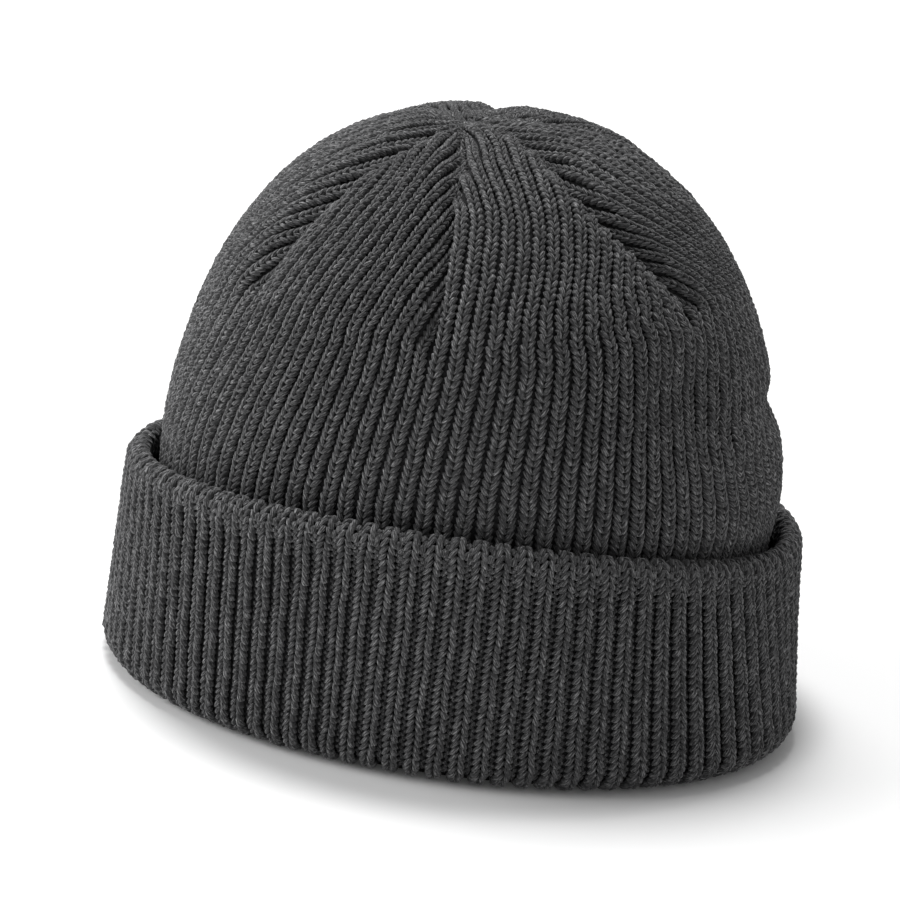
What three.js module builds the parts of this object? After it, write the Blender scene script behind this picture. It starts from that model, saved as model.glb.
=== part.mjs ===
// Cuffed rib-knit beanie standing on its folded edge.
//
// A domed crown, shaped by six darts that meet near the top, stands in a thick turned-up cuff.
// Both are hollow knitted walls with upright ribs. Millimetres, +Z up, the floor at zero, the
// middle of the hat's outline over the origin and its front towards -Y. An azimuth of zero is
// the front and grows towards +X. A turn is an angle up the dome: zero at its shoulder, 90 at
// its apex, and below zero down the straight wall inside the cuff.

import * as THREE from 'three';

const degree = Math.PI / 180;

// Knitted ribs: each has a valley at its left edge and a ridge along its middle
const ribDepth = 1.0;
const columnsPerRib = 2;
const innerColumnsPerGore = 8;

// Crown
const crownWall = 3.6;
const crownFootZ = 7.3;
const shoulderZ = 78.1;
const domeRise = 106.4;
const footTurn = (crownFootZ - shoulderZ) / domeRise / degree;
const domeFullness = 0.807; // exponent of the cosine: less than one is squarer than an ellipse

// Level sections of the crown's outer face, by turn
const crownSections = [
  { turn: -39, halfWidth: 102.1, halfDepth: 85.0, shiftX: 0.9, shiftY: 0.0, skew: 0.042, lobe: -0.013 },
  { turn: -14, halfWidth: 96.6, halfDepth: 84.0, shiftX: 0.8, shiftY: -1.6, skew: -0.022, lobe: 0.0 },
  { turn: 0, halfWidth: 97.3, halfDepth: 83.8, shiftX: 1.6, shiftY: -2.0, skew: -0.014, lobe: 0.0 },
  { turn: 18, halfWidth: 94.8, halfDepth: 87.6, shiftX: 0.5, shiftY: 0.5, skew: 0.0, lobe: 0.0 },
  { turn: 38, halfWidth: 93.9, halfDepth: 89.0, shiftX: 0.0, shiftY: -1.4, skew: 0.0, lobe: 0.0 },
  { turn: 58, halfWidth: 93.6, halfDepth: 90.0, shiftX: -0.5, shiftY: 0.4, skew: 0.0, lobe: 0.0 },
  { turn: 76, halfWidth: 93.1, halfDepth: 93.5, shiftX: 0.0, shiftY: 4.0, skew: 0.0, lobe: 0.0 },
  { turn: 90, halfWidth: 96.0, halfDepth: 96.0, shiftX: -10.9, shiftY: -5.7, skew: 0.0, lobe: 0.0 },
];

// Darts in order round the crown: the azimuth of each at the apex, half way, at its lower end
// and, as a plain valley below it, at the cuff's rim; the turn where it ends; and the ribs from
// it to the next dart
const darts = [
  { name: 'front left', top: -43, middle: -45, end: -60, rim: -64.5, endTurn: 32, ribs: 15 },
  { name: 'front', top: -16, middle: -13, end: -9.5, rim: -13, endTurn: 31, ribs: 17 },
  { name: 'front right', top: 45, middle: 27, end: 50, rim: 48, endTurn: 39, ribs: 16 },
  { name: 'back right', top: 110, middle: 105, end: 112, rim: 110, endTurn: 36, ribs: 16 },
  { name: 'back', top: 188, middle: 182, end: 176, rim: 172, endTurn: 34, ribs: 16 },
  { name: 'back left', top: 250, middle: 244, end: 236, rim: 234, endTurn: 34, ribs: 16 },
];
const dartDepth = 2.2;
const dartReach = 4.5; // how far to each side the cloth curves down into a dart
const dartRows = 10;
const pinchDepth = 1.2; // the dimple at a dart's lower end
const pinchReach = 6;
const apexShare = 0.37; // the rib that reaches the apex, as a share of the way across its gore
const apexBlend = 10; // degrees of turn below the apex over which walls come to face straight up

// Soft hollows and rolls in the crown, sizes along and across each one
const folds = [
  { name: 'side hollow', azimuth: 45, turn: 23, slant: 14, length: 19, width: 10, rise: -3.4 },
  { name: 'side crease', azimuth: 86, turn: 14.5, slant: -6, length: 24, width: 6, rise: -3.4 },
  { name: 'side roll', azimuth: 58, turn: 12.5, slant: 14, length: 22, width: 6, rise: 1.4 },
  { name: 'front hollow', azimuth: 22, turn: 47, slant: 0, length: 24, width: 14, rise: -1.4 },
];

// Where rows of faces cross the crown: one per step of the way down. Zero is the apex, one the
// lower ends of the darts, two the shoulder and three the foot inside the cuff
const outerRowsBelowDarts = [1, 1.2, 1.35, 1.48, 1.61, 1.74, 1.87, 2, 2.2, 2.6, 3];
const innerRows = [0.12, 0.3, 0.5, 0.72, 0.9, 1, 1.2, 1.4, 1.6, 1.8, 2, 2.5, 3];

// Cuff: a double band whose foot turns under the crown's
const cuffBand = 7.2; // thickness of the band itself
const cuffHeight = 70.4;
const rimWaves = [
  { lobes: 1, rise: 5.3, toward: -42 },
  { lobes: 2, rise: 3.8, toward: -5 },
];
const rimOuterRoll = 5.0;
const underRoll = 8.5;
const cuffSections = {
  foot: { halfWidth: 110.7, halfDepth: 93.4, shiftX: 0.9, shiftY: 0.0, skew: 0.042, lobe: -0.013 },
  rim: { halfWidth: 107.4, halfDepth: 93.7, shiftX: 0.9, shiftY: -1.35, skew: -0.022, lobe: 0.009 },
};
const shelfZ = 7.0; // top of the foot, just under the crown's edge
const footMargin = 0.4; // how much wider the foot is than the band and the crown's wall
const footCorner = 0.6;
const sectionKeys = ['halfWidth', 'halfDepth', 'shiftX', 'shiftY', 'skew', 'lobe'];

const yarn = { color: 0x38393b, roughness: 0.95, metalness: 0 };

function mix(from, to, share) {
  return from + (to - from) * share;
}

function smoothStep(share) {
  return share * share * (3 - 2 * share);
}

function mixSections(from, to, share) {
  const section = {};
  for (const key of sectionKeys) section[key] = mix(from[key], to[key], share);
  return section;
}

// A smooth curve through the rows of a table: the slopes are those of each row's neighbours
function crownSection(turn) {
  const last = crownSections.length - 1;
  let row = 0;
  while (row < last - 1 && turn > crownSections[row + 1].turn) row += 1;
  const here = crownSections[row];
  const next = crownSections[row + 1];
  const before = crownSections[Math.max(row - 1, 0)];
  const after = crownSections[Math.min(row + 2, last)];
  const span = next.turn - here.turn;
  const share = (turn - here.turn) / span;
  const section = {};
  for (const key of sectionKeys) {
    const leave = ((next[key] - before[key]) / (next.turn - before.turn)) * span;
    const arrive = ((after[key] - here[key]) / (after.turn - here.turn)) * span;
    const bend = (2 * (here[key] - next[key]) + leave + arrive) * share;
    const sag = 3 * (next[key] - here[key]) - 2 * leave - arrive;
    section[key] = here[key] + share * (leave + share * (sag + bend));
  }
  return section;
}

// A point on a level section, pushed inwards by an inset
function planPoint(section, azimuth, inset, z) {
  const swell = 1 + section.skew * Math.sin(2 * azimuth) + section.lobe * Math.cos(3 * azimuth);
  const x = section.shiftX + (section.halfWidth * swell - inset) * Math.sin(azimuth);
  const y = section.shiftY - (section.halfDepth * swell - inset) * Math.cos(azimuth);
  return new THREE.Vector3(x, y, z);
}

// The crown's smooth form, before ribs, darts and folds
function domePoint(azimuth, turn) {
  const section = crownSection(turn);
  const above = Math.max(turn, 0) * degree;
  const taper = Math.pow(Math.max(Math.cos(above), 0), domeFullness);
  section.halfWidth *= taper;
  section.halfDepth *= taper;
  const climb = turn > 0 ? Math.sin(above) : turn * degree;
  return planPoint(section, azimuth, 0, shoulderZ + domeRise * climb);
}

function domeNormal(azimuth, turn) {
  const step = 0.2;
  const lower = Math.min(turn, 90 - 4 * step);
  const round = domePoint(azimuth + step * degree, lower).sub(domePoint(azimuth - step * degree, lower));
  const upward = domePoint(azimuth, lower + step).sub(domePoint(azimuth, lower - step));
  const normal = round.cross(upward);
  if (turn <= 0) normal.setZ(0);
  normal.normalize();
  const toApex = Math.max(0, (turn - 90) / apexBlend + 1);
  return normal.lerp(new THREE.Vector3(0, 0, 1), toApex).normalize();
}

// About how far the crown's wall is from its axis
function crownRadius(turn) {
  return crownSections[2].halfWidth * Math.cos(Math.max(turn, 0) * degree);
}

function foldRise(azimuth, turn) {
  let rise = 0;
  const radius = crownRadius(turn);
  for (const fold of folds) {
    const away = Math.atan2(Math.sin(azimuth - fold.azimuth * degree), Math.cos(azimuth - fold.azimuth * degree));
    const across = away * radius;
    const up = (turn - fold.turn) * degree * domeRise;
    const slant = fold.slant * degree;
    const along = across * Math.cos(slant) + up * Math.sin(slant);
    const aside = up * Math.cos(slant) - across * Math.sin(slant);
    rise += fold.rise * Math.exp(-((along / fold.length) ** 2) - (aside / fold.width) ** 2);
  }
  return rise;
}

// Azimuth of a dart's line, in degrees, on its way down the crown
function dartAzimuth(index, down) {
  const dart = darts[index % darts.length];
  const wrap = index >= darts.length ? 360 : 0;
  if (down >= 1) return wrap + mix(dart.end, dart.rim, smoothStep(Math.min(down - 1, 1)));
  const top = dart.top * (1 - down) * (1 - 2 * down);
  const middle = dart.middle * 4 * down * (1 - down);
  const end = dart.end * down * (2 * down - 1);
  return wrap + top + middle + end;
}

// A place in a gore, from the share of the way across it and the way down, as an azimuth, a
// turn and the rise of its folds, with the darts at its edges
function gorePlace(gore, across, down) {
  const left = dartAzimuth(gore, down);
  const right = dartAzimuth(gore + 1, down);
  const endTurn = mix(darts[gore].endTurn, darts[(gore + 1) % darts.length].endTurn, smoothStep(across));
  let turn = endTurn * (2 - down);
  if (down < 1) turn = Math.acos(Math.pow(down, 1 / domeFullness) * Math.cos(endTurn * degree)) / degree;
  if (down > 2) turn = footTurn * (down - 2);
  const azimuth = mix(left, right, across) * degree;
  const goreWidth = (right - left) * degree * crownRadius(turn);
  const nearest = Math.min(across, 1 - across) * goreWidth;
  const below = Math.max(down - 1, 0) * endTurn * degree * domeRise;
  const toPinch = (down - 1) * endTurn * degree * domeRise;
  let rise = foldRise(azimuth, turn);
  rise -= dartDepth * Math.exp(-((nearest / dartReach) ** 2) - (below / dartReach) ** 2);
  rise -= pinchDepth * Math.exp(-(nearest ** 2 + toPinch ** 2) / pinchReach ** 2);
  return { azimuth, turn, rise };
}

function crownPoint(gore, across, down, inset) {
  const place = gorePlace(gore, across, down);
  const point = domePoint(place.azimuth, place.turn);
  return point.addScaledVector(domeNormal(place.azimuth, place.turn), place.rise - inset);
}

// Where a column of the knit lies across its gore: above the darts' ends all columns keep their
// distance from the one that reaches the apex, so the outer ones run into the darts
function acrossGore(column, columns, down) {
  const share = column / columns;
  return down >= 1 ? share : (share - apexShare * (1 - down)) / down;
}

class Skin {
  constructor() {
    this.positions = [];
    this.indices = [];
  }

  add(point) {
    this.positions.push(point.x, point.y, point.z);
    return this.positions.length / 3 - 1;
  }

  face(a, b, c) {
    this.indices.push(a, b, c);
  }

  // Faces between a lower and an upper chain with as many points each
  strip(lower, upper) {
    for (let i = 0; i + 1 < lower.length; i += 1) {
      this.face(lower[i], lower[i + 1], upper[i + 1]);
      this.face(lower[i], upper[i + 1], upper[i]);
    }
  }

  // Faces between two chains with any number of points, each spread evenly
  zip(lower, upper) {
    let i = 0;
    let j = 0;
    while (i + 1 < lower.length || j + 1 < upper.length) {
      const nextLower = (i + 1) / (lower.length - 1);
      const nextUpper = (j + 1) / (upper.length - 1);
      if (j + 1 === upper.length || (i + 1 < lower.length && nextLower <= nextUpper)) {
        this.face(lower[i], lower[i + 1], upper[j]);
        i += 1;
      } else {
        this.face(lower[i], upper[j + 1], upper[j]);
        j += 1;
      }
    }
  }

  fan(chain, tip) {
    for (let i = 0; i + 1 < chain.length; i += 1) this.face(chain[i], chain[i + 1], tip);
  }

  geometry() {
    const geometry = new THREE.BufferGeometry();
    geometry.setAttribute('position', new THREE.Float32BufferAttribute(this.positions, 3));
    geometry.setIndex(this.indices);
    geometry.computeVertexNormals();
    return geometry;
  }
}

// One row of outer points per gore; neighbouring gores share the point on their dart
function outerRow(skin, down, lost) {
  const edges = darts.map((dart, gore) => skin.add(crownPoint(gore, 0, down, ribDepth)));
  return darts.map((dart, gore) => {
    const columns = dart.ribs * columnsPerRib;
    const row = [edges[gore]];
    for (let column = lost[gore].left + 1; column < columns - lost[gore].right; column += 1) {
      const inset = column % columnsPerRib === 0 ? ribDepth : 0;
      row.push(skin.add(crownPoint(gore, acrossGore(column, columns, down), down, inset)));
    }
    row.push(edges[(gore + 1) % darts.length]);
    return row;
  });
}

function innerRow(skin, down) {
  const edges = darts.map((dart, gore) => skin.add(crownPoint(gore, 0, down, crownWall)));
  return darts.map((dart, gore) => {
    const row = [edges[gore]];
    for (let column = 1; column < innerColumnsPerGore; column += 1) {
      row.push(skin.add(crownPoint(gore, column / innerColumnsPerGore, down, crownWall)));
    }
    row.push(edges[(gore + 1) % darts.length]);
    return row;
  });
}

// Columns that have run into the darts by a given row above the darts' ends
function lostColumns(step) {
  return darts.map((dart) => {
    const columns = dart.ribs * columnsPerRib;
    const left = Math.round((apexShare * columns * step) / dartRows);
    const right = Math.round(((1 - apexShare) * columns * step) / dartRows);
    return { left, right };
  });
}

function crownGeometry() {
  const skin = new Skin();
  const noneLost = lostColumns(0);

  const below = outerRowsBelowDarts.map((down) => outerRow(skin, down, noneLost));
  for (let i = 0; i + 1 < below.length; i += 1) {
    darts.forEach((dart, gore) => skin.strip(below[i + 1][gore], below[i][gore]));
  }

  let lower = below[0];
  let lowerLost = noneLost;
  for (let step = 1; step < dartRows; step += 1) {
    const lost = lostColumns(step);
    const upper = outerRow(skin, 1 - step / dartRows, lost);
    darts.forEach((dart, gore) => {
      const leftEnds = lost[gore].left - lowerLost[gore].left;
      const rightEnds = lost[gore].right - lowerLost[gore].right;
      const from = lower[gore];
      const to = upper[gore];
      skin.fan(from.slice(0, leftEnds + 1), to[0]);
      skin.strip(from.slice(leftEnds, from.length - rightEnds), to);
      skin.fan(from.slice(from.length - 1 - rightEnds), to[to.length - 1]);
    });
    lower = upper;
    lowerLost = lost;
  }
  const apex = skin.add(crownPoint(0, 0, 0, ribDepth));
  lower.forEach((row) => skin.fan(row, apex));

  const inner = innerRows.map((down) => innerRow(skin, down));
  const innerApex = skin.add(crownPoint(0, 0, 0, crownWall));
  for (const row of inner[0]) skin.fan([...row].reverse(), innerApex);
  for (let i = 0; i + 1 < inner.length; i += 1) {
    darts.forEach((dart, gore) => skin.strip(inner[i][gore], inner[i + 1][gore]));
  }

  const outerFoot = below[below.length - 1];
  const innerFoot = inner[inner.length - 1];
  darts.forEach((dart, gore) => skin.zip(innerFoot[gore], outerFoot[gore]));
  return skin.geometry();
}

function rimHeight(azimuth) {
  let height = cuffHeight;
  for (const wave of rimWaves) height += wave.rise * Math.cos(wave.lobes * (azimuth - wave.toward * degree));
  return height;
}

// The cuff's cross-section from the floor up its outer face, over the rim and down its inner
// face to the shelf. Each point has an inset from the outer face, a height as a share of the
// rim's plus a rise, and how far the valleys between ribs push it in and up
function cuffProfile() {
  const rimInnerRoll = cuffBand - rimOuterRoll;
  const under = [0, 32, 62, 90].map((angle) => ({
    inset: underRoll * (1 - Math.sin(angle * degree)),
    share: 0,
    rise: underRoll * (1 - Math.cos(angle * degree)),
    valleyIn: angle > 0 ? ribDepth * Math.sin(angle * degree) : 0,
    valleyUp: angle > 0 ? ribDepth * Math.cos(angle * degree) : 0,
  }));
  const wall = { inset: 0, share: 0.5, rise: 0, valleyIn: ribDepth, valleyUp: 0 };
  const over = [0, 45, 90, 150].map((angle) => ({
    inset: rimOuterRoll - (angle < 90 ? rimOuterRoll : rimInnerRoll) * Math.cos(angle * degree),
    share: 1,
    rise: (angle < 90 ? rimOuterRoll : rimInnerRoll) * (Math.sin(angle * degree) - 1),
    valleyIn: ribDepth * Math.cos(angle * degree),
    valleyUp: -ribDepth * Math.sin(angle * degree),
  }));
  const plain = { valleyIn: 0, valleyUp: 0 };
  const footInset = cuffBand + crownWall + footMargin;
  const lining = [
    { inset: cuffBand, share: 1, rise: -2 * rimInnerRoll, ...plain },
    { inset: cuffBand, share: 0.5, rise: 0, ...plain },
    { inset: cuffBand, share: 0, rise: shelfZ, ...plain },
    { inset: footInset, share: 0, rise: shelfZ, ...plain },
    { inset: footInset, share: 0, rise: footCorner, ...plain },
    { inset: footInset - footCorner, share: 0, rise: 0, ...plain },
  ];
  return { ribbed: [...under, wall, ...over], lining };
}

function cuffPoint(azimuth, place, valley) {
  const height = rimHeight(azimuth);
  const z = place.share * height + place.rise + valley * place.valleyUp;
  const reach = height - rimOuterRoll - underRoll;
  const share = Math.min(Math.max((place.share * height + place.rise - underRoll) / reach, 0), 1);
  const section = mixSections(cuffSections.foot, cuffSections.rim, share);
  return planPoint(section, azimuth, place.inset + valley * place.valleyIn, z);
}

function cuffGeometry() {
  const skin = new Skin();
  const profile = cuffProfile();

  function ring(place, pointsPerGore) {
    const ids = [];
    darts.forEach((dart, gore) => {
      const count = pointsPerGore(dart);
      for (let i = 0; i < count; i += 1) {
        const azimuth = mix(dart.rim, dartAzimuth(gore + 1, 2), i / count) * degree;
        const valley = count === innerColumnsPerGore ? 0 : (i + 1) % columnsPerRib;
        ids.push(skin.add(cuffPoint(azimuth, place, valley)));
      }
    });
    ids.push(ids[0]);
    return ids;
  }

  const ribbed = profile.ribbed.map((place) => ring(place, (dart) => dart.ribs * columnsPerRib));
  const lining = profile.lining.map((place) => ring(place, () => innerColumnsPerGore));
  for (let i = 0; i + 1 < ribbed.length; i += 1) skin.strip(ribbed[i], ribbed[i + 1]);
  for (let i = 0; i + 1 < lining.length; i += 1) skin.strip(lining[i], lining[i + 1]);

  // The fine and coarse rings meet inside the rim and again on the underside
  function join(fine, coarse, fineBelow) {
    let start = 0;
    darts.forEach((dart, gore) => {
      const end = start + dart.ribs * columnsPerRib;
      const finePart = fine.slice(start, end + 1);
      const coarsePart = coarse.slice(gore * innerColumnsPerGore, (gore + 1) * innerColumnsPerGore + 1);
      if (fineBelow) skin.zip(finePart, coarsePart);
      else skin.zip(coarsePart, finePart);
      start = end;
    });
  }
  join(ribbed[ribbed.length - 1], lining[0], true);
  join(ribbed[0], lining[lining.length - 1], false);
  return skin.geometry();
}

function knitMaterial() {
  return new THREE.MeshStandardMaterial(yarn);
}

const beanie = new THREE.Group();

const crown = new THREE.Mesh(crownGeometry(), knitMaterial());
crown.name = 'crown';
beanie.add(crown);

const cuff = new THREE.Mesh(cuffGeometry(), knitMaterial());
cuff.name = 'cuff';
beanie.add(cuff);

const middle = new THREE.Box3().setFromObject(beanie).getCenter(new THREE.Vector3());
for (const piece of beanie.children) piece.position.set(-middle.x, -middle.y, 0);

export default beanie;
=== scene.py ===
# Cuffed beanie in charcoal rib knit: the stitches, the walls behind them, the yarn and the studio
import bpy
import math
import numpy as np
from mathutils import Matrix, Vector


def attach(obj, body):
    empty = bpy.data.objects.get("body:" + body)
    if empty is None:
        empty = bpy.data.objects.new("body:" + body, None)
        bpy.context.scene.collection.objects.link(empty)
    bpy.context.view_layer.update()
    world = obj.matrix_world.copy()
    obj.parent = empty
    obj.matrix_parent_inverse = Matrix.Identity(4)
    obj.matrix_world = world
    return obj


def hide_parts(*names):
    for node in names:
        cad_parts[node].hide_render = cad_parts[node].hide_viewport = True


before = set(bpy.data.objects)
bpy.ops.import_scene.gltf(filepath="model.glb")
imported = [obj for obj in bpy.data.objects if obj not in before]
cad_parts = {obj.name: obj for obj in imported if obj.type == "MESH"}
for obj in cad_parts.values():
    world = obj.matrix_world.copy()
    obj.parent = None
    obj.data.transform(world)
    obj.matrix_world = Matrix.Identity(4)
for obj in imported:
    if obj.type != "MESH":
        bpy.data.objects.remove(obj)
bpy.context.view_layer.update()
bpy.ops.object.select_all(action="DESELECT")
print("frame loaded")

# The hat's form, in millimetres and degrees. A turn is an angle up the dome: zero at its
# shoulder, 90 at its apex, below zero down the straight wall inside the cuff.
hatForm = {
    "offset": (-1.231, 0.529, 0.0),  # puts the middle of the outline over the origin
    "crownFoot": 7.3,
    "shoulder": 78.1,
    "domeRise": 106.4,
    "domeFullness": 0.807,
    "apexBlend": 10.0,  # over its last degrees the surface comes to face straight up
}
# turn, half width, half depth, shift in x and y, skew, lobe
crownSections = np.array([
    (-39, 102.1, 85.0, 0.9, 0.0, 0.042, -0.013),
    (-14, 96.6, 84.0, 0.8, -1.6, -0.022, 0.0),
    (0, 97.3, 83.8, 1.6, -2.0, -0.014, 0.0),
    (18, 94.8, 87.6, 0.5, 0.5, 0.0, 0.0),
    (38, 93.9, 89.0, 0.0, -1.4, 0.0, 0.0),
    (58, 93.6, 90.0, -0.5, 0.4, 0.0, 0.0),
    (76, 93.1, 93.5, 0.0, 4.0, 0.0, 0.0),
    (90, 96.0, 96.0, -10.9, -5.7, 0.0, 0.0),
])
shoulderRow = 2
# Azimuth at the apex, half way, at the lower end and at the rim; turn of the lower end; how far
# the cloth curves down into it on each side; how deep it is; ribs to the next dart
darts = [
    {"top": -51, "middle": -47.5, "end": -56, "rim": -64.5, "endTurn": 32,
     "left": 6.6, "right": 1.8, "depth": 4.1, "ribs": 15},
    {"top": -46, "middle": -17.7, "end": -10, "rim": -13, "endTurn": 31,
     "left": 5.0, "right": 1.6, "depth": 4.6, "ribs": 17},
    {"top": 20, "middle": 22.5, "end": 50.5, "rim": 48, "endTurn": 39,
     "left": 1.8, "right": 5.0, "depth": 4.6, "ribs": 16},
    {"top": 110, "middle": 105, "end": 112, "rim": 110, "endTurn": 36,
     "left": 3.0, "right": 3.0, "depth": 2.6, "ribs": 16},
    {"top": 188, "middle": 182, "end": 176, "rim": 172, "endTurn": 34,
     "left": 3.6, "right": 3.6, "depth": 3.0, "ribs": 16},
    {"top": 250, "middle": 244, "end": 236, "rim": 234, "endTurn": 34,
     "left": 3.0, "right": 3.0, "depth": 2.6, "ribs": 16},
]
dartForm = {
    "pinchDepth": 1.2,  # of the dimple at a dart's lower end
    "pinchReach": 6.0,
    "apexFill": 0.45,  # a dart grows shallower over this way down from the apex,
    "apexDepth": 0.15,  # to this share of its depth there
    "endFade": (3.2, 2.6),  # its share near the lower end: the first less the second per way down,
    "endDepth": 0.45,  # and no less than this
    "steepReach": 2.5,  # a side that curves down over less than this is a steep one
}
# The gores lie between the darts. The way down one is 0 at the apex, 1 where its darts end, 2 at
# the shoulder and 3 at the foot. Each row says, after its way down, which wale is at the gore's
# left edge, middle and right edge, as a share of the ribs at the rim: the others have run into
# the darts by then.
frontLeftWales = np.array([
    (0.0, 0.4, 0.41, 0.42),
    (0.1, 0.37, 0.415, 0.46),
    (0.33, 0.33, 0.415, 0.5),
    (0.5, 0.22, 0.4, 0.585),
    (0.65, 0.05, 0.375, 0.7),
    (0.82, 0.0, 0.418, 0.836),
    (1.0, 0.0, 0.5, 1.0),
    (1.15, 0.0, 0.5, 1.0),
])
frontWales = np.array([
    (0.0, 0.25, 0.255, 0.26),
    (0.1, 0.17, 0.25, 0.31),
    (0.26, 0.13, 0.262, 0.35),
    (0.48, 0.1, 0.285, 0.445),
    (0.69, 0.005, 0.28, 0.537),
    (0.85, 0.0, 0.36, 0.73),
    (1.0, 0.0, 0.5, 1.0),
    (1.15, 0.0, 0.5, 1.0),
])
walesEndingLeft = np.array([
    (0.0, 0.75, 0.755, 0.76),
    (0.1, 0.68, 0.75, 0.82),
    (0.26, 0.56, 0.74, 0.92),
    (0.5, 0.42, 0.7, 0.985),
    (0.67, 0.344, 0.67, 1.0),
    (0.82, 0.219, 0.61, 1.0),
    (1.0, 0.0, 0.5, 1.0),
    (1.15, 0.0, 0.5, 1.0),
])
walesEndingRight = np.column_stack([walesEndingLeft[:, 0], 1 - walesEndingLeft[:, :0:-1]])
leftWales = np.array([
    (0.0, 0.4, 0.405, 0.41),
    (0.1, 0.34, 0.41, 0.48),
    (0.26, 0.22, 0.4, 0.58),
    (0.5, 0.1, 0.385, 0.67),
    (0.67, 0.035, 0.382, 0.73),
    (0.82, 0.0, 0.415, 0.83),
    (1.0, 0.0, 0.5, 1.0),
    (1.15, 0.0, 0.5, 1.0),
])
goreNames = ["front_left", "front", "right", "back_right", "back_left", "left"]
waleRows = [
    frontLeftWales,
    frontWales,
    walesEndingLeft,
    walesEndingRight,
    walesEndingLeft,
    leftWales,
]
shoulderLevel, footLevel = 2, 3
folds = [
    {"azimuth": 45, "turn": 23, "slant": 14, "length": 19, "width": 10, "rise": -3.4},
    {"azimuth": 86, "turn": 14.5, "slant": -6, "length": 24, "width": 6, "rise": -3.4},
    {"azimuth": 58, "turn": 12.5, "slant": 14, "length": 22, "width": 6, "rise": 2.0},
    {"azimuth": 22, "turn": 47, "slant": 0, "length": 24, "width": 14, "rise": -1.4},
]
# On the right side the columns are drawn sideways where the cloth is creased, all in degrees
sidePull = {"azimuth": 62, "turn": 13, "around": 20, "up": 8, "shift": -4.5}
# A foot or rim is a section as above, without its turn
cuffForm = {
    "band": 7.2,
    "height": 70.4,
    "waves": [(1, 5.3, -42.0), (2, 3.8, -5.0)],  # lobes, rise, azimuth of the highest place
    "rimOuterRoll": 5.0,
    "underRoll": 8.5,
    "foot": (110.7, 93.4, 0.9, 0.0, 0.042, -0.013),
    "rim": (107.4, 93.7, 0.9, -1.35, -0.022, 0.009),
    "shelf": 7.0,
    "footMargin": 0.4,
    "footLift": 0.5,  # keeps the lowest stitches off the surface below
    "crownWall": 3.6,
}
footTurn = math.degrees((hatForm["crownFoot"] - hatForm["shoulder"]) / hatForm["domeRise"])


def mix(start, finish, share):
    return start + (finish - start) * share


def smoothStep(share):
    return share * share * (3 - 2 * share)


# A smooth curve through a table's rows, whose first column is the place
def alongTable(table, place):
    places, last = table[:, 0], len(table) - 1
    row = np.clip(np.searchsorted(places, place, side="left") - 1, 0, last - 1)
    before, after = np.maximum(row - 1, 0), np.minimum(row + 2, last)
    here, following = table[row, 1:], table[row + 1, 1:]
    span = (places[row + 1] - places[row])[..., None]
    share = (place - places[row])[..., None] / span
    leave = (following - table[before, 1:]) / (places[row + 1] - places[before])[..., None] * span
    arrive = (table[after, 1:] - here) / (places[after] - places[row])[..., None] * span
    bend = (2 * (here - following) + leave + arrive) * share
    sag = 3 * (following - here) - 2 * leave - arrive
    return here + share * (leave + share * (sag + bend))


# A point on a level section of the hat, at some azimuth and some way in
def planPoint(section, azimuth, inset, z):
    swell = 1 + section[..., 4] * np.sin(2 * azimuth) + section[..., 5] * np.cos(3 * azimuth)
    x = section[..., 2] + (section[..., 0] * swell - inset) * np.sin(azimuth)
    y = section[..., 3] - (section[..., 1] * swell - inset) * np.cos(azimuth)
    return np.stack([x, y, z + 0 * x], -1)


def domePoint(azimuth, turn):
    section = alongTable(crownSections, turn)
    above = np.radians(np.maximum(turn, 0))
    section[..., :2] *= (np.maximum(np.cos(above), 0) ** hatForm["domeFullness"])[..., None]
    climb = np.where(turn > 0, np.sin(above), np.radians(turn))
    return planPoint(section, azimuth, 0, hatForm["shoulder"] + hatForm["domeRise"] * climb)


# Directions of length one
def unit(vectors):
    return vectors / np.maximum(np.linalg.norm(vectors, axis=-1, keepdims=True), 1e-9)


def domeNormal(azimuth, turn):
    step = 0.2
    lower = np.minimum(turn, 90 - 4 * step)  # the differences stay on one side of the apex
    aside = math.radians(step)
    around = domePoint(azimuth + aside, lower) - domePoint(azimuth - aside, lower)
    upward = domePoint(azimuth, lower + step) - domePoint(azimuth, lower - step)
    normal = np.cross(around, upward)
    normal[..., 2] *= turn > 0
    toApex = np.maximum(0, (turn - 90) / hatForm["apexBlend"] + 1)[..., None]
    return unit(mix(unit(normal), np.array([0.0, 0.0, 1.0]), toApex))


def crownRadius(turn):
    return crownSections[shoulderRow, 1] * np.cos(np.radians(np.maximum(turn, 0)))


def foldRise(azimuth, turn):
    rise = np.zeros_like(azimuth + turn)
    for fold in folds:
        away = azimuth - math.radians(fold["azimuth"])
        across = np.arctan2(np.sin(away), np.cos(away)) * crownRadius(turn)
        up = np.radians(turn - fold["turn"]) * hatForm["domeRise"]
        slant = math.radians(fold["slant"])
        along = across * math.cos(slant) + up * math.sin(slant)
        aside = up * math.cos(slant) - across * math.sin(slant)
        rise += fold["rise"] * np.exp(-(along / fold["length"]) ** 2 - (aside / fold["width"]) ** 2)
    return rise


def pulledAside(azimuth, turn):
    around = (np.degrees(azimuth) - sidePull["azimuth"]) / sidePull["around"]
    up = (turn - sidePull["turn"]) / sidePull["up"]
    return azimuth + math.radians(sidePull["shift"]) * np.exp(-around ** 2 - up ** 2)


def dartAzimuth(index, down):
    dart = darts[index % len(darts)]
    wrap = 360 if index >= len(darts) else 0
    below = mix(dart["end"], dart["rim"], smoothStep(np.clip(down - 1, 0, 1)))
    above = dart["top"] * (1 - down) * (1 - 2 * down) + dart["middle"] * 4 * down * (1 - down)
    above = above + dart["end"] * down * (2 * down - 1)
    return wrap + np.where(down >= 1, below, above)


# The azimuth at the shoulder of a place among a gore's ribs
def ribAzimuth(gore, rib):
    left, right = (float(dartAzimuth(gore + k, float(shoulderLevel))) for k in (0, 1))
    return math.radians(mix(left, right, rib / darts[gore]["ribs"]))


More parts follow.
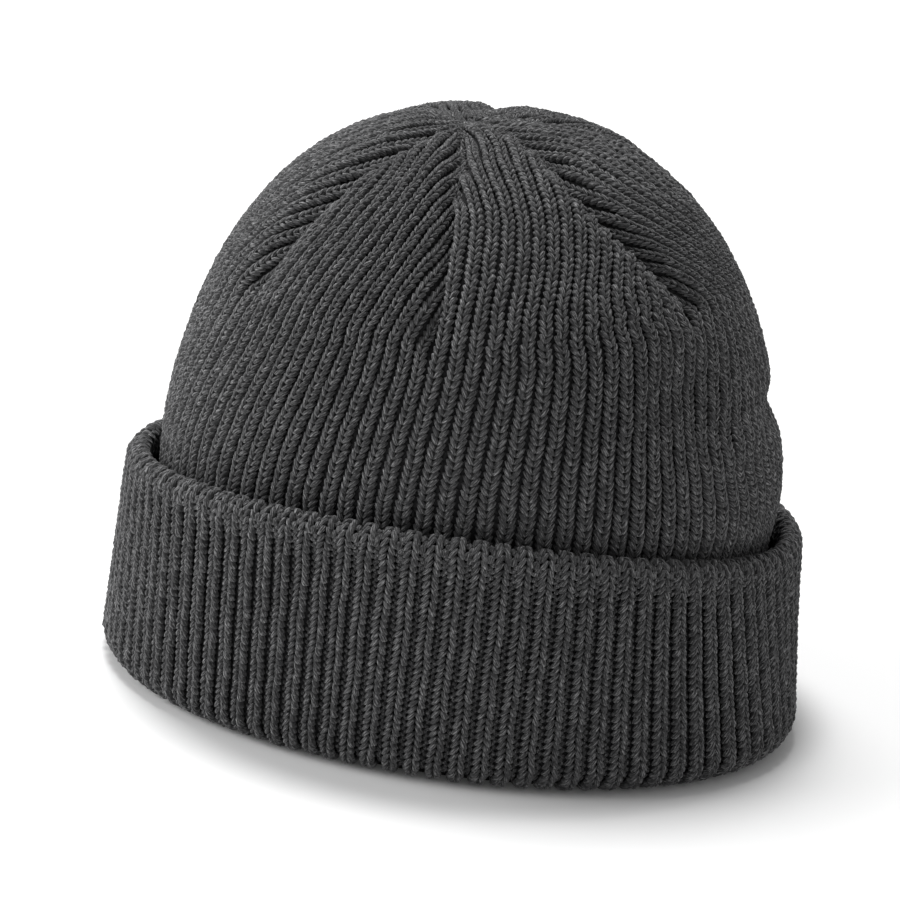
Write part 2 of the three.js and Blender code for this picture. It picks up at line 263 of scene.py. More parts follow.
# Azimuth and turn of a place in a gore, its distances to the gore's two darts, and how far it is
# below their ends
def crownPlace(gore, across, down):
    left, right = dartAzimuth(gore, down), dartAzimuth(gore + 1, down)
    here, following = darts[gore], darts[(gore + 1) % len(darts)]
    endTurn = mix(here["endTurn"], following["endTurn"], smoothStep(np.clip(across, 0, 1)))
    narrowing = np.clip(down, 0, 1) ** (1 / hatForm["domeFullness"]) * np.cos(np.radians(endTurn))
    turn = np.where(down < 1, np.degrees(np.arccos(narrowing)), endTurn * (shoulderLevel - down))
    turn = np.where(down > shoulderLevel, footTurn * (down - shoulderLevel), turn)
    azimuth = np.radians(mix(left, right, across))
    goreWidth = np.radians(right - left) * crownRadius(turn)
    toPinch = np.radians((down - 1) * endTurn) * hatForm["domeRise"]
    return azimuth, turn, across * goreWidth, (1 - across) * goreWidth, toPinch


# A point of the crown's outer side. The steep share is how much of a steep dart side it follows.
def crownPoint(gore, across, down, inset, steepShare=1.0):
    azimuth, turn, toLeft, toRight, toPinch = crownPlace(gore, across, down)
    azimuth = pulledAside(azimuth, turn)
    here, following = darts[gore], darts[(gore + 1) % len(darts)]
    pinchReach = dartForm["pinchReach"]
    nearest = np.minimum(toLeft, toRight)
    below = np.maximum(toPinch, 0)
    atTop = np.clip(down / dartForm["apexFill"] + dartForm["apexDepth"], 0, 1)
    start, slope = dartForm["endFade"]
    fading = atTop * np.clip(start - slope * down, dartForm["endDepth"], 1)
    rise = foldRise(azimuth, turn)
    sides = [
        (toLeft, here["right"], here["depth"]),
        (toRight, following["left"], following["depth"]),
    ]
    for distance, reach, depth in sides:
        groove = np.exp(-(np.maximum(distance, 0) / reach) ** 2 - (below / pinchReach) ** 2)
        followed = steepShare if reach < dartForm["steepReach"] else 1
        rise = rise - depth * groove * fading * followed
    pinch = np.exp(-(nearest ** 2 + toPinch ** 2) / pinchReach ** 2)
    rise = rise - dartForm["pinchDepth"] * pinch
    outward = domeNormal(azimuth, turn) * (rise - inset)[..., None]
    return domePoint(azimuth, turn) + outward + np.array(hatForm["offset"])


# Where a wale lies across its gore
def acrossGore(gore, share, down):
    table = waleRows[gore]
    rows = alongTable(table, np.minimum(down, table[-1, 0]))
    left, middle, right = rows[..., 0], rows[..., 1], rows[..., 2]
    beforeMiddle = (share - left) / (middle - left)
    afterMiddle = 1 + (share - middle) / (right - middle)
    return np.where(share < middle, beforeMiddle, afterMiddle) / 2


def rimHeight(azimuth):
    height = cuffForm["height"]
    for lobes, rise, toward in cuffForm["waves"]:
        height = height + rise * np.cos(lobes * (azimuth - math.radians(toward)))
    return height


def cuffPoint(azimuth, inset, z):
    reach = rimHeight(azimuth) - cuffForm["rimOuterRoll"] - cuffForm["underRoll"]
    blend = np.clip((z - cuffForm["underRoll"]) / reach, 0, 1)[..., None]
    section = mix(np.array(cuffForm["foot"]), np.array(cuffForm["rim"]), blend)
    return planPoint(section, azimuth, inset, z) + np.array(hatForm["offset"])


# Yarn
# One leg of a knitted stitch. Lengths across are shares of the column's half width, those along
# are rows, and the thickness is in millimetres.
legShape = {
    "sides": 6,
    "rings": 4,
    "nearTips": (0.7, 0.95),  # between these heights on the plain ball lie the rings next to its tips
    "fuller": 1.25,  # widens those rings
    "thickness": 1.3,
    "bow": 0.4,  # how far the middle stands out in front of the tips
    "lap": 0.15,  # how far each leg's end lies under the start of the next
}


def selectWhere(piece, test):
    bpy.ops.object.mode_set(mode="EDIT")
    bpy.ops.mesh.select_all(action="DESELECT")
    bpy.ops.object.mode_set(mode="OBJECT")
    for vertex in piece.data.vertices:
        vertex.select = test(vertex.co)
    bpy.ops.object.mode_set(mode="EDIT")


# A leg leans from the middle of its column outwards as it climbs: x across, z along, -y in front
def makeLeg(side, inner, outer, halfLength, halfWidth):
    shape = legShape
    lowest, highest = shape["nearTips"]
    bpy.ops.object.select_all(action="DESELECT")
    bpy.ops.mesh.primitive_uv_sphere_add(segments=shape["sides"], ring_count=shape["rings"], radius=1)
    leg = bpy.context.object
    bpy.ops.object.mode_set(mode="EDIT")
    bpy.ops.mesh.select_mode(type="VERT")
    bpy.ops.mesh.select_all(action="SELECT")
    bpy.ops.transform.rotate(value=math.radians(90), orient_axis="Z", center_override=(0, 0, 0))
    selectWhere(leg, lambda co: lowest < abs(co.z) < highest)
    bpy.ops.transform.resize(value=(shape["fuller"], shape["fuller"], 1), center_override=(0, 0, 0))
    bpy.ops.mesh.select_all(action="SELECT")
    size = (halfWidth, shape["thickness"], halfLength)
    bpy.ops.transform.resize(value=size, center_override=(0, 0, 0))
    bpy.ops.object.mode_set(mode="OBJECT")
    levels = sorted({round(vertex.co.z, 4) for vertex in leg.data.vertices})
    for level in levels:
        share = (level / halfLength + 1) / 2
        selectWhere(leg, lambda co: abs(co.z - level) < 1e-3)
        forward = -shape["bow"] * (1 - (2 * share - 1) ** 2) + shape["lap"] * share
        bpy.ops.transform.translate(value=(mix(inner, outer, share), forward, 0))
    bpy.ops.mesh.select_all(action="SELECT")
    if side < 0:
        bpy.ops.transform.resize(value=(-1, 1, 1), center_override=(0, 0, 0))
        bpy.ops.mesh.normals_make_consistent(inside=False)
    bpy.ops.object.mode_set(mode="OBJECT")
    return takeShape(leg)


# Reads a small template's points, faces and unwrapped corners, and takes it out of the scene
def takeShape(piece):
    mesh = piece.data
    points = np.zeros(len(mesh.vertices) * 3)
    mesh.vertices.foreach_get("co", points)
    corners = np.zeros(len(mesh.loops), int)
    mesh.loops.foreach_get("vertex_index", corners)
    starts = np.zeros(len(mesh.polygons), int)
    mesh.polygons.foreach_get("loop_start", starts)
    unwrapped = np.zeros(len(mesh.loops) * 2)
    mesh.uv_layers.active.data.foreach_get("uv", unwrapped)
    bpy.data.objects.remove(piece)
    return {"points": points.reshape(-1, 3), "corners": corners, "starts": starts,
            "unwrapped": unwrapped.reshape(-1, 2)}


# How unevenly the stitches lie, and how the yarn map runs over each
layForm = {
    "lengthSpread": 0.05,  # as a share of the length
    "liftSpread": 0.1,  # in millimetres
    "asideSpread": 0.06,
    "mapRadius": 0.9,  # of the yarn, in millimetres
    "mapRows": 1.5,  # a stitch's length
    "mapStarts": 400,  # each stitch starts at a place of its own within so many millimetres
}


# Lays one copy of a template at each place of the paths. A path gives points, sideways and
# outward directions and half widths along its length.
def layStitches(shape, paths, rows, seed):
    chance = np.random.default_rng(seed)
    template = shape["points"]
    allPoints, allUnwrapped, allTones = [], [], []
    for path in paths:
        places = path["places"]
        count = len(places)
        grow = 1 + layForm["lengthSpread"] * chance.standard_normal((count, 1))
        along = places[:, None] + template[None, :, 2] * rows * grow
        lift = layForm["liftSpread"] * chance.standard_normal((count, 1)) - path["sink"][:, None]
        reach = np.clip(along, 0, path["length"])
        beyond = along - reach

        def follow(values):
            return np.stack([np.interp(reach, path["at"], column) for column in values.T], -1)

        point, side = follow(path["points"]), follow(path["sides"])
        outward, ahead = follow(path["outwards"]), follow(path["aheads"])
        half = np.interp(reach, path["at"], path["halves"])
        aside = layForm["asideSpread"] * chance.standard_normal((count, 1))
        across = template[None, :, 0] * half + path["sway"](along) + aside
        out = -template[None, :, 1] + lift - path["round"] * (template[None, :, 0] ** 2)
        placed = point + side * across[..., None] + outward * out[..., None]
        placed = placed + ahead * beyond[..., None]
        allPoints.append(placed.reshape(-1, 3))
        size = np.array([2 * math.pi * layForm["mapRadius"], layForm["mapRows"] * rows])
        start = chance.uniform(0, layForm["mapStarts"], (count, 1, 2))
        allUnwrapped.append((shape["unwrapped"][None] * size + start).reshape(-1, 2))
        allTones.append(np.repeat(chance.uniform(0, 1, count), len(template)))
    return shape, np.concatenate(allPoints), np.concatenate(allUnwrapped), np.concatenate(allTones)


def joinStitches(name, parts):
    points, corners, starts, unwrapped, tones = [], [], [], [], []
    pointCount = cornerCount = 0
    for shape, placed, mapped, tone in parts:
        copies = len(placed) // len(shape["points"])
        step = np.arange(copies)[:, None]
        corners.append((shape["corners"][None] + step * len(shape["points"]) + pointCount).ravel())
        starts.append((shape["starts"][None] + step * len(shape["corners"]) + cornerCount).ravel())
        pointCount += len(placed)
        cornerCount += copies * len(shape["corners"])
        points.append(placed)
        unwrapped.append(mapped)
        tones.append(tone)
    points, corners, starts = np.concatenate(points), np.concatenate(corners), np.concatenate(starts)
    mesh = bpy.data.meshes.new(name)
    mesh.vertices.add(len(points))
    mesh.vertices.foreach_set("co", (points / 1000).ravel())
    mesh.loops.add(len(corners))
    mesh.loops.foreach_set("vertex_index", corners.astype(np.int32))
    mesh.polygons.add(len(starts))
    mesh.polygons.foreach_set("loop_start", starts.astype(np.int32))
    mesh.polygons.foreach_set("use_smooth", np.ones(len(starts), bool))
    mesh.update(calc_edges=True)
    mesh.uv_layers.new(name="yarnMap").data.foreach_set("uv", np.concatenate(unwrapped).ravel())
    mesh.attributes.new("tone", "FLOAT", "POINT").data.foreach_set("value", np.concatenate(tones))
    mesh.validate()
    piece = bpy.data.objects.new(name, mesh)
    bpy.context.collection.objects.link(piece)
    triangles = int(sum(polygon.loop_total - 2 for polygon in mesh.polygons))
    print(name, triangles, "triangles")
    return piece


# Where the random draws start. The gores of one piece start some way apart.
seeds = {"sways": 11, "crown": 0, "cuff": 1000, "purls": 3000, "heads": 4000, "apart": 100}


# Each template is laid along all the paths, and the stitches are joined in one mesh
def knitPiece(name, shapes, paths, rows, seed):
    parts = [layStitches(shape, paths, rows, seed + k) for k, shape in enumerate(shapes)]
    return joinStitches(name, parts)


# Millimetres, apart from what is given in rows
waleForm = {
    "endRows": 0.2,  # no stitch starts nearer to a wale's end
    "tuckRows": 2.2,  # over these last rows it sinks into the dart
    "sway": 0.1,  # from side to side, as the sum of waves of these lengths
    "waves": (41.0, 23.0, 11.0),
}


# Directions and widths along one wale from its middle line and the lines at its two edges
def walePath(middle, left, right, knit, chance):
    rows, waves = knit["rows"], waleForm["waves"]
    ahead = unit(np.gradient(middle, axis=0))
    gap = (right - left) / 2
    gap = gap - ahead * (gap * ahead).sum(-1, keepdims=True)
    half = np.linalg.norm(gap, axis=-1)
    side = unit(gap)
    at = np.concatenate([[0], np.cumsum(np.linalg.norm(np.diff(middle, axis=0), axis=-1))])
    length = at[-1]
    places = np.arange(knit["first"] * rows, length - waleForm["endRows"] * rows, rows)
    tuckRows = np.clip((places - length) / rows + waleForm["tuckRows"], 0, waleForm["tuckRows"])
    phases = chance.uniform(0, 2 * math.pi, len(waves))

    def sway(along):
        turns = [along / wave * 2 * math.pi + phase for wave, phase in zip(waves, phases)]
        return sum(waleForm["sway"] * np.sin(turn) for turn in turns)

    return {
        "points": middle,
        "sides": side,
        "outwards": np.cross(side, ahead),
        "aheads": ahead,
        "room": half,
        "halves": np.minimum(half * knit["fill"], knit["half"]),
        "at": at,
        "length": length,
        "places": places,
        "sink": tuckRows * knit["tuckIn"],
        "sway": sway,
        "round": knit["round"],
    }


# Crown stitches
crownKnit = {
    "rows": 2.12,  # millimetres from one row to the next
    "half": 3.1,  # half the width of a knitted column, at most
    "fill": 0.96,  # the same as a share of the room that it has
    "round": 0.6,  # how far the column's edges lie below its middle
    "under": 1.15,  # the yarn's middle lies this far below the wall's outer face
    "first": 0.5,  # where the first stitch lies, in rows from the column's start
    "tuckIn": 0.8,  # how far a column sinks with each of its last rows
    "dive": 3.0,  # how far a column goes on under the edge of the dart that it runs into
    "overlap": 3.0,  # how far its sides may pass that edge
    "mostOverlap": 0.6,  # the same near the apex, as a share of the gore's width there
    "tilt": 0.25,  # how far a column beside a dart's steep side turns into it
    "tuck": 5.0,  # how far the columns go on below the cuff's rim
    "leastTuck": 0.02,  # and at least this way down, as a share of the straight wall
    "top": 0.012,  # the way down at which the columns end
    "samples": 260,
    # side, inner, outer, half length, half width
    "legs": [(1, 0.1, 0.72, 0.78, 0.38), (-1, 0.1, 0.72, 0.78, 0.38)],
}
# The heads of the loops show as small knobs behind the meeting of the legs
headForm = {"under": 1.95, "width": 0.5, "place": (0.0, 0.28)}


# A wale goes on a little way under the edge of the dart that it runs into
def insideGore(gore, share, down):
    toLeft, toRight = crownPlace(gore, acrossGore(gore, share, down), down)[2:4]
    return np.minimum(toLeft, toRight) > -crownKnit["dive"]


def crownWale(gore, share, down, chance):
    toLeft, toRight = crownPlace(gore, 0.5, down)[2:4]
    spare = np.minimum(crownKnit["overlap"] / (toLeft + toRight), crownKnit["mostOverlap"])

    def edge(away):
        across = acrossGore(gore, share + away / darts[gore]["ribs"], down)
        return np.clip(across, -spare, 1 + spare)

    left, right = edge(-0.5), edge(0.5)
    under, tilt = crownKnit["under"], crownKnit["tilt"]
    middle = crownPoint(gore, (left + right) / 2, down, under)
    edges = [crownPoint(gore, across, down, under, tilt) for across in (left, right)]
    return walePath(middle, *edges, crownKnit, chance)


# A narrow path under a wale, for the heads of its loops
def headPath(wale):
    widths = np.full(len(wale["halves"]), headForm["width"])
    deeper = wale["sink"] + headForm["under"] - crownKnit["under"]
    return dict(wale, halves=widths, sink=deeper, round=0.0)


chance = np.random.default_rng(seeds["sways"])
wallDepth = hatForm["shoulder"] - hatForm["crownFoot"]
crownPaths = []
for gore, dart in enumerate(darts):
    wales = []
    for rib in range(dart["ribs"]):
        share = (rib + 0.5) / dart["ribs"]
        start = rimHeight(ribAzimuth(gore, rib + 0.5)) - crownKnit["tuck"]
        lowest = max(crownKnit["leastTuck"], (hatForm["shoulder"] - start) / wallDepth)
        down = np.linspace(shoulderLevel + lowest, crownKnit["top"], crownKnit["samples"])
        down = down[insideGore(gore, share, down)]
        wales.append(crownWale(gore, share, down, chance))
    crownPaths.append(wales)

crownLegs = [makeLeg(*leg) for leg in crownKnit["legs"]]
crownStitches = []
for gore, wales in enumerate(crownPaths):
    name, seed = "crown_stitches_" + goreNames[gore], seeds["crown"] + seeds["apart"] * gore
    crownStitches.append(knitPiece(name, crownLegs, wales, crownKnit["rows"], seed))

# Cuff stitches
cuffKnit = {
    "rows": 2.12,
    "half": 2.7,
    "fill": 0.77,
    "round": 0.5,
    "under": 1.15,
    "first": 0.4,
    "tuckIn": 0.0,
    "lining": 7.0,  # how far the stitches go down the inner side of the band
    "samples": (5, 30, 42, 16),  # down the lining, over the rim, down the face, under the foot
    "legs": [(1, 0.12, 0.84, 0.78, 0.36), (-1, 0.24, 0.66, 0.8, 0.4)],
}


# The cuff's section from inside its rim, over it, down its face and under its foot
def cuffTrack(azimuth, inset):
    outerRoll, underRoll = cuffForm["rimOuterRoll"], cuffForm["underRoll"]
    innerRoll = cuffForm["band"] - outerRoll
    liningCount, overCount, wallCount, underCount = cuffKnit["samples"]
    lining = cuffKnit["lining"] * np.linspace(1, 0, liningCount)[:-1]
    over = np.radians(np.linspace(180, 0, overCount))
    wall = np.linspace(1, 0, wallCount)[1:-1]
    under = np.radians(np.linspace(90, 0, underCount))
    roll = np.where(over > math.pi / 2, innerRoll, outerRoll)
    height = rimHeight(azimuth)
    insets = np.concatenate([
        cuffForm["band"] - inset + 0 * lining,
        outerRoll - (roll - inset) * np.cos(over),
        inset + 0 * wall,
        inset + (underRoll - inset) * (1 - np.sin(under)),
    ])
    heights = np.concatenate([
        height - innerRoll - lining,
        height - roll + (roll - inset) * np.sin(over),
        mix(underRoll, height - outerRoll, wall),
        underRoll - (underRoll - inset - cuffForm["footLift"]) * np.cos(under),
    ])
    return cuffPoint(np.full(len(insets), azimuth), insets, heights)


def cuffWale(gore, rib, inset, chance):
    lines = [cuffTrack(ribAzimuth(gore, rib + away), inset) for away in (0, 0.5, -0.5)]
    return walePath(*lines, cuffKnit, chance)


cuffPaths = []
for gore, dart in enumerate(darts):
    ribs = range(dart["ribs"])
    cuffPaths.append([cuffWale(gore, rib + 0.5, cuffKnit["under"], chance) for rib in ribs])
cuffLegs = [makeLeg(*leg) for leg in cuffKnit["legs"]]
cuffStitches = []
for gore, wales in enumerate(cuffPaths):
    name, seed = "cuff_stitches_" + goreNames[gore], seeds["cuff"] + seeds["apart"] * gore
    cuffStitches.append(knitPiece(name, cuffLegs, wales, cuffKnit["rows"], seed))

# Purl stitches in the gaps between the columns
purlKnit = {
    "sides": 4,
    "rings": 3,
    "size": (1.2, 0.75, 0.4),  # across in gap half widths, out in millimetres, along in rows
    "places": [(-0.5, 0.25), (0.5, -0.25)],  # of the two knobs in a row, across and along
    "under": 2.8,
    "least": 0.5,  # half the width of a gap, at least
    "crest": 1.8,  # how far they come up over the rim, where the cloth is stretched
    "crestAt": 12.0,  # from the path's start inside the rim to the rim's outer edge
    "crestReach": 5.5,
    "crestSpread": 0.3,  # the share by which a gap is wider there, for each millimetre of crest
}


def makeKnob(across, along):
    bpy.ops.object.select_all(action="DESELECT")
    bpy.ops.mesh.primitive_uv_sphere_add(segments=purlKnit["sides"], ring_count=purlKnit["rings"], radius=1)
    knob = bpy.context.object
    bpy.ops.object.mode_set(mode="EDIT")
    bpy.ops.mesh.select_all(action="SELECT")
    bpy.ops.transform.resize(value=purlKnit["size"], center_override=(0, 0, 0))
    bpy.ops.transform.translate(value=(across, 0, along))
    bpy.ops.object.mode_set(mode="OBJECT")
    return takeShape(knob)


def crested(along):
    return purlKnit["crest"] * np.exp(-((along - purlKnit["crestAt"]) / purlKnit["crestReach"]) ** 2)


# A path that fills what two neighbouring columns leave free
def gapPath(wale):
    widths = np.maximum(wale["room"] - wale["halves"], purlKnit["least"])
    widths = widths * (1 + purlKnit["crestSpread"] * crested(wale["at"]))
    return dict(wale, halves=widths, sink=wale["sink"] - crested(wale["places"]), round=0.0)


cuffKnobs = [makeKnob(*place) for place in purlKnit["places"]]
headKnobs = [makeKnob(*headForm["place"])]
purlPaths = []
for gore, dart in enumerate(darts):
    for rib in range(dart["ribs"]):
        purlPaths.append(gapPath(cuffWale(gore, rib, purlKnit["under"], chance)))
headPaths = [headPath(wale) for wales in crownPaths for wale in wales]
purls = knitPiece("cuff_purls", cuffKnobs, purlPaths, cuffKnit["rows"], seeds["purls"])
cuffStitches.append(purls)
heads = knitPiece("crown_stitch_heads", headKnobs, headPaths, crownKnit["rows"], seeds["heads"])
crownStitches.append(heads)
print("stitches laid")

# Walls behind the stitches
wallForm = {
    "columns": 120,
    "outerRows": 40,
    "innerRows": 12,
    "crownInset": 2.4,
    "crownInner": 3.9,  # to the crown's inner face, where no stitches are laid
    "top": 0.02,  # the way down at which the wall closes
    "cuffColumns": 132,
    "cuffRows": 44,
    "cuffInset": 3.1,
    "footEdge": 1.0,  # breaks the corner at the inner side of the foot
    "footLift": 0.4,
}


def readPoints(piece):
    points = np.zeros(len(piece.data.vertices) * 3)
    piece.data.vertices.foreach_get("co", points)
    return points.reshape(-1, 3)


def placePoints(piece, points):
    piece.data.vertices.foreach_set("co", (points / 1000).ravel())
    piece.data.polygons.foreach_set("use_smooth", np.ones(len(piece.data.polygons), bool))
    piece.data.update()


# Takes the share of the way round as a gore and a share of the way across it
def crownLevel(around, down, inset):
    placed = np.zeros(around.shape + (3,))
    place = around * len(darts)
    for gore in range(len(darts)):
        here = (place >= gore) & (place < gore + 1)
        placed[here] = crownPoint(gore, place[here] - gore, down[here], inset[here])
    return placed


# A ball's rows become the outer face from the apex to the foot and the inner face back up
def makeCrownWall():
    outer, inner = wallForm["outerRows"], wallForm["innerRows"]
    rings = outer + inner
    bpy.ops.object.select_all(action="DESELECT")
    bpy.ops.mesh.primitive_uv_sphere_add(segments=wallForm["columns"], ring_count=rings, radius=1)
    wall = bpy.context.object
    wall.name = "crown_wall"
    points = readPoints(wall)
    level = np.arccos(np.clip(points[:, 2], -1, 1)) / math.pi * rings
    around = (np.arctan2(points[:, 1], points[:, 0]) / (2 * math.pi)) % 1
    around = around % 0.9999999  # a hair under a full turn is none
    outside = level <= outer + 1e-3
    down = np.where(outside, level / outer, (rings - level) / (inner - 1)) * footLevel
    down = np.clip(down, wallForm["top"], footLevel)
    inset = np.where(outside, wallForm["crownInset"], wallForm["crownInner"])
    placePoints(wall, crownLevel(around, down, inset))
    return wall


# The closed section of the cuff's wall, evenly spaced from the middle of its face upwards
def cuffSection(azimuth, count):
    outer = cuffTrack(azimuth, wallForm["cuffInset"])[::-1]
    band, shelf, edge = cuffForm["band"], cuffForm["shelf"], wallForm["footEdge"]
    foot = band + cuffForm["crownWall"] + cuffForm["footMargin"]
    insets = np.array([band, foot, foot, foot - edge])
    heights = np.array([shelf, shelf, edge, wallForm["footLift"]])
    inner = cuffPoint(np.full(len(insets), azimuth), insets, heights)
    loop = np.concatenate([outer, inner, outer[:1]])
    at = np.concatenate([[0], np.cumsum(np.linalg.norm(np.diff(loop, axis=0), axis=-1))])
    steps = np.linspace(0, at[-1], count, endpoint=False)
    return np.stack([np.interp(steps, at, column) for column in loop.T], -1)


def makeCuffWall():
    rows, ringRadius = wallForm["cuffRows"], 2
    bpy.ops.object.select_all(action="DESELECT")
    bpy.ops.mesh.primitive_torus_add(major_segments=wallForm["cuffColumns"], minor_segments=rows,
                                     major_radius=ringRadius, minor_radius=1)
    wall = bpy.context.object
    wall.name = "cuff_wall"
    points = readPoints(wall)
    around = np.arctan2(points[:, 0], -points[:, 1])
    level = np.arctan2(points[:, 2], np.hypot(points[:, 0], points[:, 1]) - ringRadius)
    row = np.round(level / (2 * math.pi) * rows).astype(int) % rows
    placed = np.zeros_like(points)
    for azimuth in np.unique(np.round(around, 6)):
        here = np.abs(around - azimuth) < 1e-5
        placed[here] = cuffSection(float(azimuth), rows)[row[here]]
    placePoints(wall, placed)
    return wall


crownWall, cuffWall = makeCrownWall(), makeCuffWall()
print("walls made")


# Materials
def linearColour(hexText):
    values = [int(hexText[k:k + 2], 16) / 255 for k in (0, 2, 4)]
    return [v / 12.92 if v <= 0.04045 else ((v + 0.055) / 1.055) ** 2.4 for v in values] + [1]


# Adds a node with its settings and links. Stops are a ramp's places and colours, the first two of
# them at its ends.
def addNode(tree, kind, settings=None, links=None):
    node = tree.nodes.new(kind)
    for name, value in (settings or {}).items():
        if name == "stops":
            elements = node.color_ramp.elements
            for k, (place, colour) in enumerate(value):
                element = elements[k] if k < 2 else elements.new(place)
                element.position = place
                element.color = linearColour(colour)
        elif name in node.inputs and not hasattr(node, name):
            node.inputs[name].default_value = value
        else:
            setattr(node, name, value)
    for name, source in (links or {}).items():
        tree.links.new(source, node.inputs[name])
    return node


def newMaterial(name):
    material = bpy.data.materials.new(name)
    material.use_nodes = True
    material.node_tree.nodes.clear()
    return material, material.node_tree


# Acrylic and wool knitting yarn, carded from dark and lighter grey fibres and softly spun: the
# fibres show as fine streaks along the twist, and loose ends give the surface a dull bloom.
# Scales are per millimetre of the yarn map, so a fibre shows 0.3 mm wide and 1.1 mm long.
yarnLook = {
    "stops": [(0.22, "1a1a1b"), (0.8, "aaaaab"), (0.51, "3c3c3d")],
    "twist": 14,
    "fibres": (3.4, 0.9, 1),
    "plies": 0.4,  # bands 0.8 mm apart
    "plyShade": 0.05,
    "stitchShade": 0.035,  # how far one stitch is darker or lighter than another
    "roughness": 0.95,
    "sheen": "c8c8c9",
}


def yarnMaterial():
    material, tree = newMaterial("heather_wool_yarn")
    look = yarnLook
    place = addNode(tree, "ShaderNodeUVMap", {"uv_map": "yarnMap"})
    twisted = addNode(tree, "ShaderNodeMapping", {"Rotation": (0, 0, math.radians(look["twist"]))},
                      {"Vector": place.outputs["UV"]})
    stretched = addNode(tree, "ShaderNodeMapping", {"Scale": look["fibres"]},
                        {"Vector": twisted.outputs["Vector"]})
    fibres = addNode(tree, "ShaderNodeTexNoise", {"Scale": 1.0, "Detail": 3.0, "Roughness": 0.6},
                     {"Vector": stretched.outputs["Vector"]})
    plies = addNode(tree, "ShaderNodeTexWave",
                    {"Scale": look["plies"], "Distortion": 4.0, "Detail": 3.0, "Detail Scale": 1.5},
                    {"Vector": twisted.outputs["Vector"]})
    ply = addNode(tree, "ShaderNodeMapRange", {"To Min": -look["plyShade"], "To Max": look["plyShade"]},
                  {"Value": plies.outputs["Fac"]})
    strands = addNode(tree, "ShaderNodeMath", {"operation": "ADD"},
                      {0: fibres.outputs["Fac"], 1: ply.outputs["Result"]})
    tone = addNode(tree, "ShaderNodeAttribute", {"attribute_name": "tone"})
    shade = addNode(tree, "ShaderNodeMapRange",
                    {"To Min": -look["stitchShade"], "To Max": look["stitchShade"]},
                    {"Value": tone.outputs["Fac"]})
    total = addNode(tree, "ShaderNodeMath", {"operation": "ADD"},
                    {0: strands.outputs["Value"], 1: shade.outputs["Result"]})
    ramp = addNode(tree, "ShaderNodeValToRGB", {"stops": look["stops"]},
                   {"Fac": total.outputs["Value"]})
    bump = addNode(tree, "ShaderNodeBump", {"Strength": 0.9, "Distance": 0.0003},
                   {"Height": strands.outputs["Value"]})
    shader = addNode(tree, "ShaderNodeBsdfPrincipled",
                     {"Roughness": look["roughness"], "Sheen Weight": 0.25, "Sheen Roughness": 0.5,
                      "Sheen Tint": linearColour(look["sheen"]), "Specular IOR Level": 0.25},
                     {"Base Color": ramp.outputs["Color"], "Normal": bump.outputs["Normal"]})
    addNode(tree, "ShaderNodeOutputMaterial", {}, {"Surface": shader.outputs["BSDF"]})
    return material


# The knitted cloth between and behind the columns, of the same yarn, with its colour painted far darker
# than the yarn's
# as painted shade for the deep gaps: it shows as dark flecked grey
wallPaintedShadeLook = {
    # painted shade: near-black greys stand in for the yarn's own colour; the flecks are the yarn's heather
    "stops": [(0.35, "1b1b1c"), (0.7, "353536")],
    "flecks": 900.0,  # per metre, so they are 1.1 mm wide
    "roughness": 0.95,
}


def paintedShadeWallMaterial():
    # painted shade: the walls' material is the yarn darkened to stand for the shade in the gaps behind the
    # columns
    material, tree = newMaterial("wall_yarn_painted_shade")
    place = addNode(tree, "ShaderNodeTexCoord")
    fibres = addNode(tree, "ShaderNodeTexNoise",
                     {"Scale": wallPaintedShadeLook["flecks"], "Detail": 3.0, "Roughness": 0.6},
                     {"Vector": place.outputs["Object"]})
    ramp = addNode(tree, "ShaderNodeValToRGB", {"stops": wallPaintedShadeLook["stops"]},
                   {"Fac": fibres.outputs["Fac"]})
    bump = addNode(tree, "ShaderNodeBump", {"Strength": 0.8, "Distance": 0.0005},
                   {"Height": fibres.outputs["Fac"]})
    shader = addNode(tree, "ShaderNodeBsdfPrincipled",
                     {"Roughness": wallPaintedShadeLook["roughness"], "Specular IOR Level": 0.2},
                     {"Base Color": ramp.outputs["Color"], "Normal": bump.outputs["Normal"]})
    addNode(tree, "ShaderNodeOutputMaterial", {}, {"Surface": shader.outputs["BSDF"]})
    return material


yarn, wallPaintedShade = yarnMaterial(), paintedShadeWallMaterial()
for piece in crownStitches + cuffStitches:
    piece.data.materials.append(yarn)
    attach(piece, "root")
for piece, node in ((crownWall, "crown"), (cuffWall, "cuff")):
    piece.data.materials.clear()
    piece.data.materials.append(wallPaintedShade)
    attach(piece, "root")
    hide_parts(node)
print("materials done")

# Studio, in metres
studio = {
    "elevation": 17.0,
    "roll": 6.51,
    "distance": 1.0638,
    "target": (-0.00691, 0.00053, 0.07622),
    "lens": 135.2,
    "sensor": 36,
    "floorSize": 30,
    "floorColour": "f4f4f4",
    "floorRoughness": 0.8,
    "glowAway": (0.4, 3.0),  # the floor glows more and more between these distances
    "glow": (0.02, 0.9),
    "world": 0.34,
    "aim": (0, 0, 0.08),
    # name, place, size, power
    "lights": [
        ("key", (-0.35, 0.5, 1.75), 0.8, 16.4),
        ("top", (-0.2, 0.3, 1.85), 0.6, 14),
        ("side", (-1.5, -0.2, 0.7), 1.3, 20.5),
    ],
}


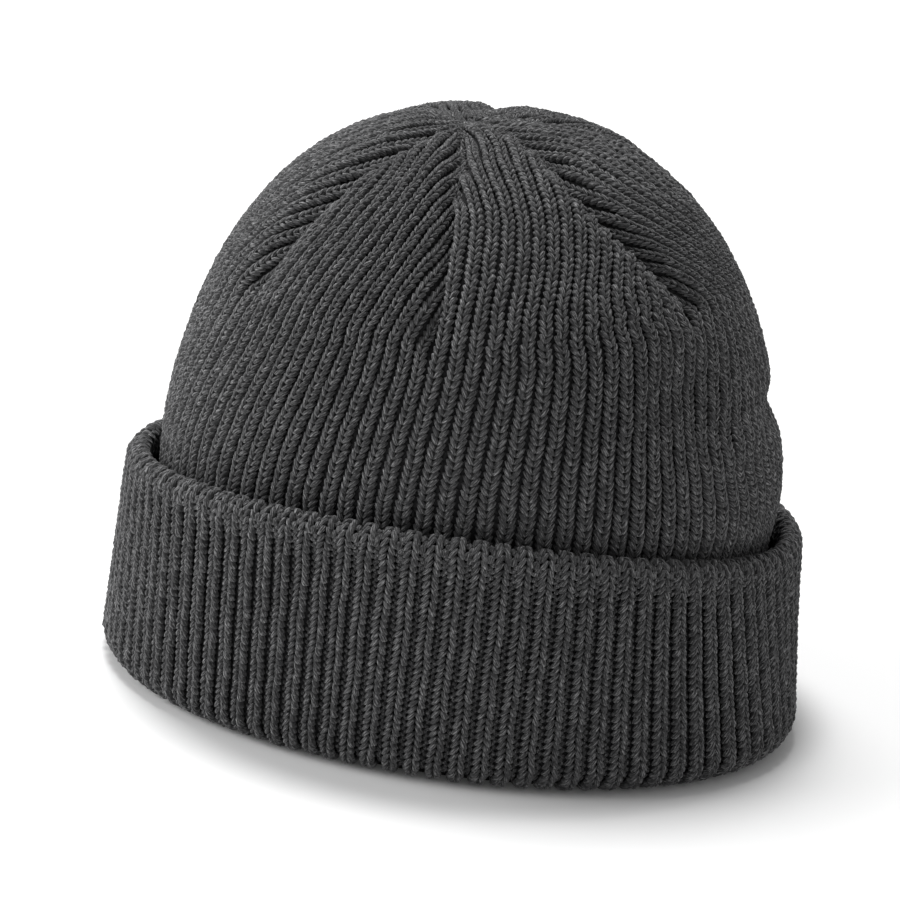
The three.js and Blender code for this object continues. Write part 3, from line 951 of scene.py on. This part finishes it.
# Matt white paper, which runs off into plain white behind the hat
def floorMaterial():
    material = bpy.data.materials.new("white_paper_sweep")
    material.use_nodes = True
    tree = material.node_tree
    shader = tree.nodes["Principled BSDF"]
    shader.inputs["Base Color"].default_value = linearColour(studio["floorColour"])
    shader.inputs["Roughness"].default_value = studio["floorRoughness"]
    shader.inputs["Emission Color"].default_value = (1, 1, 1, 1)
    place = addNode(tree, "ShaderNodeTexCoord")
    away = addNode(tree, "ShaderNodeVectorMath", {"operation": "LENGTH"}, {0: place.outputs["Object"]})
    (near, far), (least, most) = studio["glowAway"], studio["glow"]
    glow = addNode(tree, "ShaderNodeMapRange",
                   {"From Min": near, "From Max": far, "To Min": least, "To Max": most},
                   {"Value": away.outputs["Value"]})
    tree.links.new(glow.outputs["Result"], shader.inputs["Emission Strength"])
    return material


def addLight(name, place, size, power):
    data = bpy.data.lights.new(name, "AREA")
    data.shape = "DISK"
    data.size = size
    data.energy = power
    light = bpy.data.objects.new(name, data)
    bpy.context.collection.objects.link(light)
    light.location = place
    toAim = Vector(studio["aim"]) - Vector(place)
    light.rotation_euler = toAim.to_track_quat("-Z", "Y").to_euler()


def addCamera():
    elevation, roll = math.radians(studio["elevation"]), math.radians(studio["roll"])
    forward = Vector((0, math.cos(elevation), -math.sin(elevation)))
    levelUp = Vector((0, math.sin(elevation), math.cos(elevation)))
    right = Vector((1, 0, 0)) * math.cos(roll) + levelUp * math.sin(roll)
    up = levelUp * math.cos(roll) - Vector((1, 0, 0)) * math.sin(roll)
    data = bpy.data.cameras.new("camera")
    data.lens = studio["lens"]
    data.sensor_width = studio["sensor"]
    camera = bpy.data.objects.new("camera", data)
    bpy.context.collection.objects.link(camera)
    turned = Matrix((right, up, -forward)).transposed().to_4x4()
    turned.translation = Vector(studio["target"]) - forward * studio["distance"]
    camera.matrix_world = turned
    bpy.context.scene.camera = camera


bpy.ops.object.select_all(action="DESELECT")
bpy.ops.mesh.primitive_plane_add(size=studio["floorSize"])
floor = bpy.context.object
floor.name = "floor"
floor.data.materials.append(floorMaterial())

world = bpy.data.worlds.new("studio")
bpy.context.scene.world = world
world.use_nodes = True
background = world.node_tree.nodes["Background"]
background.inputs["Color"].default_value = (1, 1, 1, 1)
background.inputs["Strength"].default_value = studio["world"]
for light in studio["lights"]:
    addLight(*light)
addCamera()
bpy.context.scene.view_settings.view_transform = "Standard"
print("studio set")
